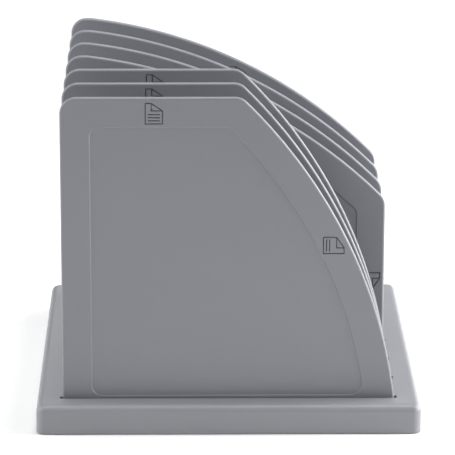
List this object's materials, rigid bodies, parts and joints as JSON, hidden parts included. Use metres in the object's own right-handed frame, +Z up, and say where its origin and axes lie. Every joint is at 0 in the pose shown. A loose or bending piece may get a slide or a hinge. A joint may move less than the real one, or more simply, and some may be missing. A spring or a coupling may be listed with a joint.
{
  "type": "desktop paper sorter",
  "caption": "Shallow square base with upright plug-in dividers, each a square plate with one swept corner, for sorting papers and folders on a desk.",
  "frame": {"origin": "centre of the footprint at the level of the table the feet stand on", "axes": "+Z up, +X to the right seen from the front, front towards -Y"},
  "size_m": [0.347, 0.368, 0.307],
  "materials": {
    "base_plastic": "injection-moulded plastic, satin, very fine even grain, mid grey with a slightly cool tint",
    "divider_plastic": "injection-moulded plastic, satin, very fine even grain, mid grey with a slightly cool tint",
    "foot_rubber": "matte dark rubber"
  },
  "bodies": {
    "base": {"base_rail_left": "base_plastic", "base_rail_right": "base_plastic", "base_bar_1": "base_plastic", "base_bar_2": "base_plastic", "base_bar_3": "base_plastic", "base_bar_4": "base_plastic", "base_bar_5": "base_plastic", "base_bar_6": "base_plastic", "base_bar_7": "base_plastic", "base_bar_8": "base_plastic", "base_floor": "base_plastic", "foot_front_left": "foot_rubber", "foot_front_right": "foot_rubber", "foot_rear_left": "foot_rubber", "foot_rear_right": "foot_rubber"},
    "divider_1_body": {"divider_1": "divider_plastic"},
    "divider_2_body": {"divider_2": "divider_plastic"},
    "divider_3_body": {"divider_3": "divider_plastic"},
    "divider_4_body": {"divider_4": "divider_plastic"},
    "divider_5_body": {"divider_5": "divider_plastic"},
    "divider_6_body": {"divider_6": "divider_plastic"},
    "divider_7_body": {"divider_7": "divider_plastic"}
  },
  "joints": [
    {"name": "divider_1_lift", "type": "slide", "parent": "base", "child": "divider_1_body", "axis": [0, 0, 1], "range_m": [0, 0.32]},
    {"name": "divider_2_lift", "type": "slide", "parent": "base", "child": "divider_2_body", "axis": [0, 0, 1], "range_m": [0, 0.32]},
    {"name": "divider_3_lift", "type": "slide", "parent": "base", "child": "divider_3_body", "axis": [0, 0, 1], "range_m": [0, 0.32]},
    {"name": "divider_4_lift", "type": "slide", "parent": "base", "child": "divider_4_body", "axis": [0, 0, 1], "range_m": [0, 0.32]},
    {"name": "divider_5_lift", "type": "slide", "parent": "base", "child": "divider_5_body", "axis": [0, 0, 1], "range_m": [0, 0.32]},
    {"name": "divider_6_lift", "type": "slide", "parent": "base", "child": "divider_6_body", "axis": [0, 0, 1], "range_m": [0, 0.32]},
    {"name": "divider_7_lift", "type": "slide", "parent": "base", "child": "divider_7_body", "axis": [0, 0, 1], "range_m": [0, 0.32]}
  ]
}
